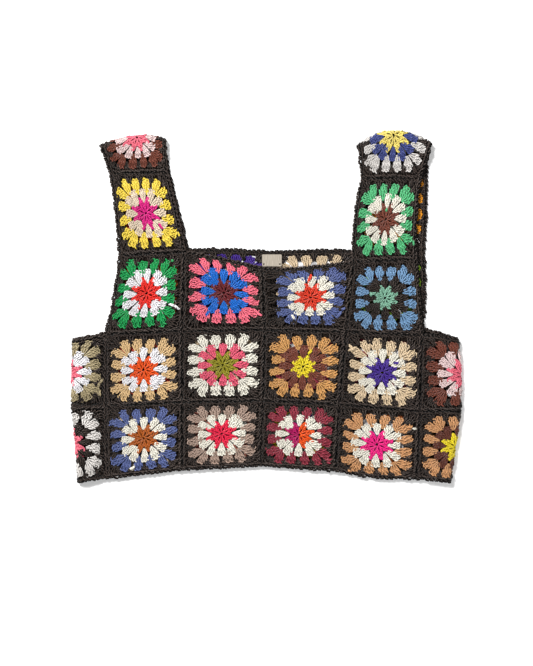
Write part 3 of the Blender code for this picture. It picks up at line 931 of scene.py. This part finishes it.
def edge_run(square, edge, backwards):
    """Points along one edge of a square, and the ways out of it and up from it."""
    fixed = np.full(RAIL_STEPS, {"left": -1.0, "right": 1.0, "bottom": -1.0, "top": 1.0}[edge])
    stations = np.linspace(-1, 1, RAIL_STEPS)
    upright = edge in ("left", "right")
    u, v = (fixed, stations) if upright else (stations, fixed)
    inner = fixed * JUST_INSIDE
    inner_u, inner_v = (inner, v) if upright else (u, inner)
    line, up = surface(square, u, v), normals(square, u, v)
    out = np.cross(np.gradient(line, axis=0), up)
    out /= np.linalg.norm(out, axis=1, keepdims=True)
    inward = surface(square, inner_u, inner_v) - line
    out *= -np.sign((out * inward).sum(1, keepdims=True))
    run = np.concatenate([line, out, up], 1)
    return run[::-1] if backwards else run


def crochet_edging(name, path, squares, materials, random):
    """A row of stitches round an opening, just outside the squares."""
    runs = []
    for square, edge, backwards in path:
        run = edge_run(squares[square], edge, backwards)
        if runs:
            near, far = (np.linalg.norm(run[i, :3] - runs[-1][-1, :3]) for i in (0, -1))
            if near > far:
                raise RuntimeError(f"{name} turns back at {square}")
        runs.append(run)
    rail = np.concatenate(runs + [runs[0][:1]])
    walked = np.concatenate([[0], np.cumsum(np.linalg.norm(np.diff(rail[:, :3], axis=0), axis=1))])
    length = walked[-1]
    count = round(length / EDGE_STITCH)
    starts = np.arange(count) * length / count
    leans = random.normal(0.0, EDGE_LEAN * sizes().unevenness, (count, 1))
    yarn = Yarn()
    for strand in EDGE_STRANDS:
        along, out, high = np.array(strand).T
        places = (starts[:, None] + along[None]) % length
        stray = random.normal(0.0, EDGE_STRAY * sizes().unevenness, (*places.shape, 2))
        at = np.stack([np.interp(places, walked, rail[:, i]) for i in range(9)], -1)
        ups = at[..., 6:]
        reach = EDGING_GAP + out[None] + leans + stray[..., 0]
        lines = at[..., :3] + at[..., 3:6] * reach[..., None]
        lines = lines + ups * (high[None] + stray[..., 1])[..., None]
        yarn.add(lines, ups, BLACK, sizes().yarn_radius / MM * BLACK_THICKENING, random)
    piece = yarn.build(name + "_stitches", [materials["black"]])
    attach(piece, BODY)
    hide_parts(name)
    return piece


def closed_line(curve, points):
    """Adds a closed outline to a flat curve."""
    spline = curve.splines.new("POLY")
    spline.points.add(len(points) - 1)
    spline.points.foreach_set("co", [c * MM for x, y in points for c in (x, y, 0, 1 / MM)])
    spline.use_cyclic_u = True


def arc(centre, radius, start, turn, steps):
    """Points along an arc, from an angle and through a turn, in degrees."""
    angles = (math.radians(start + turn * i / steps) for i in range(steps + 1))
    return [(centre[0] + radius * math.cos(a), centre[1] + radius * math.sin(a)) for a in angles]


def label_middle():
    low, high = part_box("label_plate")
    return (low + high) / 2


def label_holes():
    """Centres of the label's sewing holes, from the label's middle."""
    across = LABEL_WIDTH / 2 - LABEL_HOLE_INSET
    return [(side * across, LABEL_HOLE_RISE - LABEL_HEIGHT / 2) for side in (-1, 1)]


def make_label(material):
    """A small blank plate with two sewing holes."""
    outline = []
    for quarter, (side, end) in enumerate(((1, 1), (-1, 1), (-1, -1), (1, -1))):
        x = side * (LABEL_WIDTH / 2 - LABEL_CORNER)
        y = end * (LABEL_HEIGHT / 2 - LABEL_CORNER)
        outline += arc((x, y), LABEL_CORNER - LABEL_EDGE, 90 * quarter, 90, CORNER_STEPS)
    curve = bpy.data.curves.new("label_outline", "CURVE")
    curve.dimensions, curve.fill_mode = "2D", "BOTH"
    closed_line(curve, outline)
    for hole in label_holes():
        closed_line(curve, arc(hole, LABEL_HOLE_DIAMETER / 2 + LABEL_EDGE, 0, 360, HOLE_STEPS)[:-1])
    curve.extrude = (LABEL_THICKNESS / 2 - LABEL_EDGE) * MM
    curve.bevel_depth = LABEL_EDGE * MM
    curve.bevel_resolution = 2
    shape = bpy.data.objects.new("label_outline", curve)
    mesh = bpy.data.meshes.new_from_object(shape)
    bpy.data.objects.remove(shape)
    bpy.data.curves.remove(curve)
    mesh.name = "label"
    mesh.shade_smooth()
    mesh.set_sharp_from_angle(angle=math.radians(LABEL_SHARP_DEGREES))
    mesh.materials.clear()
    mesh.materials.append(material)
    plate = add_piece("label", mesh)
    plate.location = label_middle()
    bpy.context.view_layer.update()
    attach(plate, BODY)
    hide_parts("label_plate")


def make_label_thread(materials, random):
    """The yarn that fills the label's holes, where it is sewn on, in the darkened black that is
    painted shade.
    """
    yarn, middle = Yarn(), label_middle() / MM
    lines = [[(x + way, y, rise) for way, rise in LABEL_THREAD] for x, y in label_holes()]
    lines = np.array(lines) + np.array(middle)
    ups = np.zeros(lines.shape)
    ups[..., 2] = 1.0
    yarn.add(lines, ups, BLACK, LABEL_THREAD_RADIUS, random)
    thread = yarn.build("label_thread", [materials["black_under"]])
    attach(thread, BODY)
    return thread


# ---------------------------------------------------------------- materials


def linear(colour):
    return [c / 12.92 if c <= 0.04045 else ((c + 0.055) / 1.055) ** 2.4 for c in colour]


def new_material(name):
    """A material, its nodes, its links and its shader."""
    material = bpy.data.materials.new(name)
    material.use_nodes = True
    nodes, links = material.node_tree.nodes, material.node_tree.links
    return material, nodes, links, nodes["Principled BSDF"]


def set_inputs(node, values):
    for name, value in values.items():
        node.inputs[name].default_value = value


FIBRE_SCALE = 14.0
HEATHER_SCALE = 2.2


def plied_group():
    """Shader group: plies, fibres and heather of a cotton yarn, laid along its map, with painted shade
    between the plies and on the sides of each strand.
    """
    group = bpy.data.node_groups.new("Plied cotton", "ShaderNodeTree")
    for name, kind, default in (
        ("Colour", "NodeSocketColor", (0.5, 0.5, 0.5, 1.0)),
        ("Plies", "NodeSocketFloat", 3.0),
        ("Groove shade", "NodeSocketFloat", 0.5),
        ("Crevice shade", "NodeSocketFloat", 0.2),
        ("Crevice sharpness", "NodeSocketFloat", 1.0),
        ("Heather", "NodeSocketFloat", 0.1),
    ):
        socket = group.interface.new_socket(name=name, in_out="INPUT", socket_type=kind)
        socket.default_value = default
    for name, kind in (
        ("Colour", "NodeSocketColor"),
        ("Height", "NodeSocketFloat"),
        ("Roughness", "NodeSocketFloat"),
    ):
        group.interface.new_socket(name=name, in_out="OUTPUT", socket_type=kind)
    nodes, links = group.nodes, group.links
    enter, leave = nodes.new("NodeGroupInput"), nodes.new("NodeGroupOutput")

    def calc(kind, *values):
        node = nodes.new("ShaderNodeMath")
        node.operation = kind
        for socket, value in zip(node.inputs, values):
            if isinstance(value, (int, float)):
                socket.default_value = value
            else:
                links.new(value, socket)
        return node.outputs[0]

    def spread(value, low, high, from_low=0.0, from_high=1.0):
        node = nodes.new("ShaderNodeMapRange")
        links.new(value, node.inputs["Value"])
        set_inputs(node, {"From Min": from_low, "From Max": from_high})
        for socket, end in (("To Min", low), ("To Max", high)):
            if isinstance(end, float):
                node.inputs[socket].default_value = end
            else:
                links.new(end, node.inputs[socket])
        return node.outputs[0]

    def noise(detail, *way):
        place = nodes.new("ShaderNodeCombineXYZ")
        for socket, value in zip(place.inputs, way):
            links.new(value, socket)
        node = nodes.new("ShaderNodeTexNoise")
        set_inputs(node, {"Scale": 1.0, "Detail": detail})
        links.new(place.outputs[0], node.inputs["Vector"])
        return node.outputs["Fac"]

    place = nodes.new("ShaderNodeUVMap")
    place.uv_map = "OFBake"
    apart = nodes.new("ShaderNodeSeparateXYZ")
    links.new(place.outputs[0], apart.inputs[0])
    around = calc("FRACT", calc("MULTIPLY", apart.outputs[0], float(SLOTS)))
    along = calc("FRACT", apart.outputs[1])
    lays = calc("MULTIPLY", along, float(LAYS * PLY_TURNS))
    twist = calc("ADD", calc("MULTIPLY", around, enter.outputs["Plies"]), lays)
    ridge = calc("POWER", calc("ABSOLUTE", calc("SINE", calc("MULTIPLY", twist, math.pi))), 0.6)
    loop = calc("MULTIPLY", along, 2 * math.pi)
    loop_x, loop_y = calc("COSINE", loop), calc("SINE", loop)
    fibres = noise(
        3.0,
        calc("MULTIPLY", loop_x, FIBRE_SCALE),
        calc("MULTIPLY", loop_y, FIBRE_SCALE),
        calc("MULTIPLY", twist, 2.0),
    )
    heather = noise(
        2.0, calc("MULTIPLY", loop_x, HEATHER_SCALE), calc("MULTIPLY", loop_y, HEATHER_SCALE)
    )
    # Painted shade across each strand: light along its top and bottom, dark on its sides where it
    # meets the next strand.
    top = calc("ABSOLUTE", calc("SINE", calc("MULTIPLY", around, 2 * math.pi)))
    top = calc("POWER", top, enter.outputs["Crevice sharpness"])
    # Painted shade between the plies, darkest where they meet.
    groove_shade = spread(ridge, enter.outputs["Groove shade"], 1.0)
    shade = calc("MULTIPLY", groove_shade, spread(top, enter.outputs["Crevice shade"], 1.0, 0.1, 0.9))
    painted_shade_and_tone = calc("MULTIPLY", shade, spread(fibres, 0.86, 1.1, 0.3, 0.7))
    share = enter.outputs["Heather"]
    least, most = calc("SUBTRACT", 1.0, share), calc("ADD", 1.0, share)
    painted_shade_and_tone = calc("MULTIPLY", painted_shade_and_tone, spread(heather, least, most, 0.3, 0.7))
    # The colour scaled by the painted shade and by the random variation of fibres and heather
    colour_with_painted_shade = nodes.new("ShaderNodeVectorMath")
    colour_with_painted_shade.operation = "SCALE"
    links.new(enter.outputs["Colour"], colour_with_painted_shade.inputs[0])
    links.new(painted_shade_and_tone, colour_with_painted_shade.inputs["Scale"])
    links.new(colour_with_painted_shade.outputs[0], leave.inputs["Colour"])
    height = calc("ADD", ridge, calc("MULTIPLY", fibres, 0.25))
    links.new(height, leave.inputs["Height"])
    links.new(spread(ridge, 0.6, 0.36), leave.inputs["Roughness"])
    return group


SHEEN = 0.3
PLY_DEPTH = 0.3


def cotton_material(name, colour, group, painted_shade_and_tone, lustre, crevice_shade, sharpness, heather):
    """Plied, slightly lustrous cotton in one colour, scaled by a factor: below one it makes a darkened
    copy that is painted shade.
    """
    material, nodes, links, shader = new_material(name)
    plies = nodes.new("ShaderNodeGroup")
    plies.node_tree = group
    # The factor darkens the colour; for the copies laid beneath the strands this is painted shade.
    colour_with_painted_shade = (*(painted_shade_and_tone * part for part in linear(colour)), 1.0)
    set_inputs(plies, {"Colour": colour_with_painted_shade, "Crevice shade": crevice_shade, "Heather": heather})
    set_inputs(plies, {"Crevice sharpness": sharpness})
    set_inputs(shader, {"Base Color": colour_with_painted_shade, "Specular IOR Level": lustre})
    set_inputs(shader, {"Sheen Weight": SHEEN * lustre, "Sheen Roughness": 0.4})
    links.new(plies.outputs["Colour"], shader.inputs["Base Color"])
    links.new(plies.outputs["Roughness"], shader.inputs["Roughness"])
    bump = nodes.new("ShaderNodeBump")
    set_inputs(bump, {"Strength": 0.5, "Distance": PLY_DEPTH * MM})
    links.new(plies.outputs["Height"], bump.inputs["Height"])
    links.new(bump.outputs[0], shader.inputs["Normal"])
    return material


# Fineness of the brushing across and along the label, and its dark and light tones (sRGB)
BRUSHING = (2500.0, 120.0, 120.0)
BRUSH_DEPTH = 0.1
METAL_TONES = ((0.3, (0.50, 0.465, 0.415)), (0.7, (0.68, 0.64, 0.585)))


def label_material():
    """Brushed, dull metal."""
    material, nodes, links, shader = new_material("brushed_label")
    place = nodes.new("ShaderNodeTexCoord")
    stretch = nodes.new("ShaderNodeMapping")
    set_inputs(stretch, {"Scale": BRUSHING})
    links.new(place.outputs["Object"], stretch.inputs["Vector"])
    streaks = nodes.new("ShaderNodeTexNoise")
    set_inputs(streaks, {"Scale": 1.0, "Detail": 4.0})
    links.new(stretch.outputs[0], streaks.inputs["Vector"])
    ramp = nodes.new("ShaderNodeValToRGB")
    for stop, (position, colour) in zip(ramp.color_ramp.elements, METAL_TONES):
        stop.position, stop.color = position, (*linear(colour), 1.0)
    links.new(streaks.outputs["Fac"], ramp.inputs["Fac"])
    links.new(ramp.outputs["Color"], shader.inputs["Base Color"])
    bump = nodes.new("ShaderNodeBump")
    set_inputs(bump, {"Strength": 0.2, "Distance": BRUSH_DEPTH * MM})
    links.new(streaks.outputs["Fac"], bump.inputs["Height"])
    links.new(bump.outputs[0], shader.inputs["Normal"])
    set_inputs(shader, {"Metallic": 0.35, "Roughness": 0.5})
    return material


# How dark the copies for the ground beneath the strands are: painted shade
PAINTED_SHADE_TONE = 0.2
# Lustre, painted shade on the sides of each strand where it meets the next, how sharply it sets in,
# and heather
LOOKS = (0.22, 0.25, 1.0, 0.1)
BLACK_LOOKS = (0.1, 0.0, 3.5, 0.75)
PAINTED_SHADE_LOOKS = (0.0, 1.0, 1.0, 0.1)


def cotton_materials():
    """Two materials for each colour of cotton: its yarn, and a darkened copy for the ground beneath
    its yarn, which is painted shade.
    """
    found = {}
    group = plied_group()
    for name in COTTON:
        colour = getattr(colours(), name)
        looks = BLACK_LOOKS if name == "black" else LOOKS
        found[name] = cotton_material(f"cotton_{name}", colour, group, 1.0, *looks)
        under = f"{name}_under"
        found[under] = cotton_material(f"cotton_{under}", colour, group, PAINTED_SHADE_TONE, *PAINTED_SHADE_LOOKS)
    return found


# ---------------------------------------------------------------- add-on


class GrannySizes(bpy.types.PropertyGroup):
    """Sizes of the yarn and of the hand's unevenness."""

    yarn_radius: bpy.props.FloatProperty(
        name="Yarn radius", description="Half the thickness of the cotton", default=0.00102,
        unit="LENGTH")
    lay_length: bpy.props.FloatProperty(
        name="Lay length", description="Length of yarn in which each ply turns three times",
        default=0.0066, unit="LENGTH")
    sides: bpy.props.IntProperty(
        name="Yarn sides", description="Sides of each strand of yarn", default=4, min=3)
    unevenness: bpy.props.FloatProperty(
        name="Unevenness", description="How far the stitches stray, as by hand", default=1.0,
        subtype="FACTOR")


class GrannyColours(bpy.types.PropertyGroup):
    """Colours of the cotton."""


for _name, _colour in COTTON.items():
    GrannyColours.__annotations__[_name] = bpy.props.FloatVectorProperty(
        name=_name.replace("_", " ").capitalize(), description="Colour of this cotton",
        default=_colour, subtype="COLOR_GAMMA", min=0.0, max=1.0)


class GRANNY_OT_squares(bpy.types.Operator):
    """Crochet the granny squares"""

    bl_idname = "granny.squares"
    bl_label = "Granny squares"

    def execute(self, context):
        materials = cotton_materials()
        squares = all_squares()
        trims = {name: [] for name in squares}
        trims[LABEL_SQUARE].append(make_label_thread(materials, np.random.default_rng(0)))
        random = np.random.default_rng(len(squares))
        for name, path in edging_paths().items():
            trims[EDGING_STARTS[name]].append(crochet_edging(name, path, squares, materials, random))
        for seed, square in enumerate(squares.values()):
            crochet_square(square, materials, seed)
        return {"FINISHED"}


class GRANNY_OT_label(bpy.types.Operator):
    """Make the blank label plate"""

    bl_idname = "granny.label"
    bl_label = "Label plate"

    def execute(self, context):
        make_label(label_material())
        return {"FINISHED"}


class GRANNY_OT_stage(bpy.types.Operator):
    """Make the floor, the lights and the camera"""

    bl_idname = "granny.stage"
    bl_label = "Stage"

    def execute(self, context):
        make_floor()
        make_lights()
        make_camera()
        return {"FINISHED"}


FRAME_HEIGHT = 0.7326
CAMERA_BELOW_CENTRE = 0.0291
LENS = 100.0
SENSOR = 36.0
FLOOR_REACH = 4.0
PAPER = (0.92, 0.92, 0.92, 1.0)
# Each light's place, size and power
LIGHTS = {
    "key_light": ((-1.15, 1.5, 2.3), 0.8, 142.0),
    "fill_light": ((1.4, -1.4, 2.6), 1.6, 56.0),
}


def make_floor():
    mesh = bpy.data.meshes.new("floor")
    corners = [(x * FLOOR_REACH, y * FLOOR_REACH, 0) for x, y in ((-1, -1), (1, -1), (1, 1), (-1, 1))]
    mesh.from_pydata(corners, [], [(0, 1, 2, 3)])
    floor = add_piece("floor", mesh)
    material, _, _, shader = new_material("white_paper")
    set_inputs(shader, {"Base Color": PAPER, "Roughness": 0.9, "Specular IOR Level": 0.2})
    mesh.materials.append(material)


def area_light(name, place, size, power):
    light = bpy.data.lights.new(name, "AREA")
    light.shape = "SQUARE"
    light.size = size
    light.energy = power
    lamp = add_piece(name, light)
    lamp.location = place
    aim = -lamp.location
    lamp.rotation_mode = "QUATERNION"
    lamp.rotation_quaternion = aim.to_track_quat("-Z", "Y")


def make_lights():
    for name, (place, size, power) in LIGHTS.items():
        area_light(name, place, size, power)
    world = bpy.data.worlds.new("studio")
    world.use_nodes = True
    background = world.node_tree.nodes["Background"]
    set_inputs(background, {"Color": (1.0, 1.0, 1.0, 1.0), "Strength": 0.2})
    bpy.context.scene.world = world
    bpy.context.scene.view_settings.view_transform = "Standard"


def make_camera():
    low, high = CAD_BOX
    data = bpy.data.cameras.new("camera")
    data.lens = LENS
    data.sensor_width = SENSOR
    camera = add_piece("camera", data)
    away = FRAME_HEIGHT / 2 * LENS / (SENSOR / 2)
    middle = (low + high) / 2
    camera.location = (middle.x, middle.y - CAMERA_BELOW_CENTRE, middle.z + away)
    bpy.context.scene.camera = camera


class GRANNY_PT_panel(bpy.types.Panel):
    """Lists the pieces of the top"""

    bl_label = "Granny top"
    bl_idname = "GRANNY_PT_panel"
    bl_space_type = "VIEW_3D"
    bl_region_type = "UI"
    bl_category = "Granny top"

    def draw(self, context):
        for operator in OPERATORS:
            self.layout.operator(operator.bl_idname)


OPERATORS = (GRANNY_OT_stage, GRANNY_OT_squares, GRANNY_OT_label)
CLASSES = (GrannySizes, GrannyColours, *OPERATORS, GRANNY_PT_panel)


def register():
    for cls in CLASSES:
        bpy.utils.register_class(cls)
    bpy.types.Scene.granny_sizes = bpy.props.PointerProperty(type=GrannySizes)
    bpy.types.Scene.granny_colours = bpy.props.PointerProperty(type=GrannyColours)


def unregister():
    del bpy.types.Scene.granny_colours
    del bpy.types.Scene.granny_sizes
    for cls in reversed(CLASSES):
        bpy.utils.unregister_class(cls)


def main():
    register()
    for operator in OPERATORS:
        group, name = operator.bl_idname.split(".")
        getattr(getattr(bpy.ops, group), name)()


if __name__ == "__main__":
    main()
